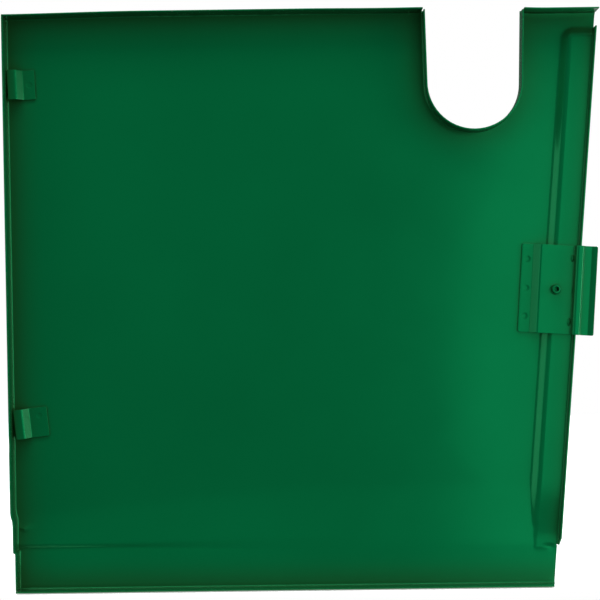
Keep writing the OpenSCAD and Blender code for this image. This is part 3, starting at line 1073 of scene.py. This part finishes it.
def paint_material():
    """Semi-gloss green enamel with uneven gloss."""
    paint = bpy.data.materials.new("green_enamel")
    paint.use_nodes = True
    tree = paint.node_tree
    shader = tree.nodes["Principled BSDF"]
    shader.inputs["Specular Tint"].default_value = PAINT_MIRROR
    shader.inputs["IOR"].default_value = 1.5
    gloss = spread(tree, noise(tree, 22.0, 4.0), 0.3, 0.7, *PAINT_ROUGH)
    tree.links.new(paint_colour(tree), shader.inputs["Base Color"])
    tree.links.new(gloss, shader.inputs["Roughness"])
    tree.links.new(orange_peel(tree), shader.inputs["Normal"])
    return paint


def plain_material(name, colour, roughness):
    """A material of one colour and one roughness."""
    made = bpy.data.materials.new(name)
    made.use_nodes = True
    shader = made.node_tree.nodes["Principled BSDF"]
    shader.inputs["Base Color"].default_value = (*colour, 1)
    shader.inputs["Roughness"].default_value = roughness
    return made


# ---------------------------------------------------------------- stage, lights and camera


def build_stage():
    """A pale floor that glows a little, so that it runs out into the white room without an edge."""
    low = SKIN_LO.z - 0.001
    bm = bmesh.new()
    corners = [(-FLOOR_HALF_W, -FLOOR_FRONT), (FLOOR_HALF_W, -FLOOR_FRONT)]
    corners += [(FLOOR_HALF_W, FLOOR_BACK), (-FLOOR_HALF_W, FLOOR_BACK)]
    bm.faces.new([bm.verts.new((MIDDLE_X + x, FACE_Y + y, low)) for x, y in corners])
    floor = new_object("floor", bm)
    paper = plain_material("pale_paper", FLOOR_COLOUR, FLOOR_ROUGH)
    shader = paper.node_tree.nodes["Principled BSDF"]
    shader.inputs["Emission Color"].default_value = (1, 1, 1, 1)
    shader.inputs["Emission Strength"].default_value = FLOOR_GLOW
    floor.data.materials.append(paper)


def add_light(name, at, towards, size, power):
    """A rectangular card of light turned towards a point."""
    light = bpy.data.lights.new(name, "AREA")
    light.shape = "RECTANGLE"
    light.size = size[0]
    light.size_y = size[1]
    light.energy = power
    thing = bpy.data.objects.new(name, light)
    bpy.context.scene.collection.objects.link(thing)
    thing.location = at
    thing.rotation_euler = (Vector(towards) - Vector(at)).to_track_quat("-Z", "Y").to_euler()


def build_world():
    """White for the eye, soft light that grows from the ground to the zenith, and dark in the gloss."""
    world = bpy.data.worlds.new("studio")
    world.use_nodes = True
    nodes = world.node_tree.nodes
    links = world.node_tree.links
    sky = nodes["Background"]
    sky.inputs["Color"].default_value = (1, 1, 1, 1)
    path = nodes.new("ShaderNodeLightPath")
    seen = nodes.new("ShaderNodeMapRange")
    seen.inputs["To Max"].default_value = 1.0
    links.new(path.outputs["Is Camera Ray"], seen.inputs["Value"])
    where = nodes.new("ShaderNodeTexCoord")
    parts = nodes.new("ShaderNodeSeparateXYZ")
    links.new(where.outputs["Generated"], parts.inputs["Vector"])
    height = nodes.new("ShaderNodeMapRange")
    height.inputs["From Min"].default_value = -1.0
    height.inputs["To Min"].default_value = 0.0
    height.inputs["To Max"].default_value = 2 * SOFT_LIGHT
    links.new(parts.outputs["Z"], height.inputs["Value"])
    links.new(height.outputs["Result"], seen.inputs["To Min"])
    mirrored = nodes.new("ShaderNodeMapRange")
    mirrored.inputs["To Max"].default_value = MIRRORED_ROOM
    links.new(path.outputs["Is Glossy Ray"], mirrored.inputs["Value"])
    links.new(seen.outputs["Result"], mirrored.inputs["To Min"])
    links.new(mirrored.outputs["Result"], sky.inputs["Strength"])
    bpy.context.scene.world = world


def build_lights():
    """A tall card right of the camera, one behind the cover, and cards that graze it from three sides."""
    face = (MIDDLE_X, FACE_Y, MIDDLE_Z)
    for name, (at, size, power) in LIGHT_CARDS.items():
        add_light(name, (MIDDLE_X + at[0], at[1], at[2]), face, size, power)


def build_camera():
    """Looks square at the inside of the cover."""
    data = bpy.data.cameras.new("camera")
    data.sensor_width = FILM_W
    data.lens = CAMERA_LENS
    camera = bpy.data.objects.new("camera", data)
    bpy.context.scene.collection.objects.link(camera)
    camera.location = CAMERA_AT
    yaw = Matrix.Rotation(math.radians(CAMERA_YAW), 3, "Z")
    pitch = Matrix.Rotation(math.radians(CAMERA_PITCH), 3, "X")
    roll = Matrix.Rotation(math.radians(CAMERA_ROLL), 3, "Z")
    camera.rotation_euler = (yaw @ pitch @ roll).to_euler()
    bpy.context.scene.camera = camera


def main():
    """Builds every piece, then the stage, the lights and the camera."""
    paint = paint_material()
    build_skin(paint)
    build_clip("bent_upper_clip", "upper_hook_clip", UPPER_CLIP, UPPER_CLIP_PRINTS, paint)
    build_clip("bent_lower_clip", "lower_hook_clip", LOWER_CLIP, LOWER_CLIP_PRINTS, paint)
    build_bracket(paint)
    build_standoff(paint)
    build_stage()
    build_world()
    build_lights()
    build_camera()
    bpy.context.scene.view_settings.view_transform = "Standard"


main()
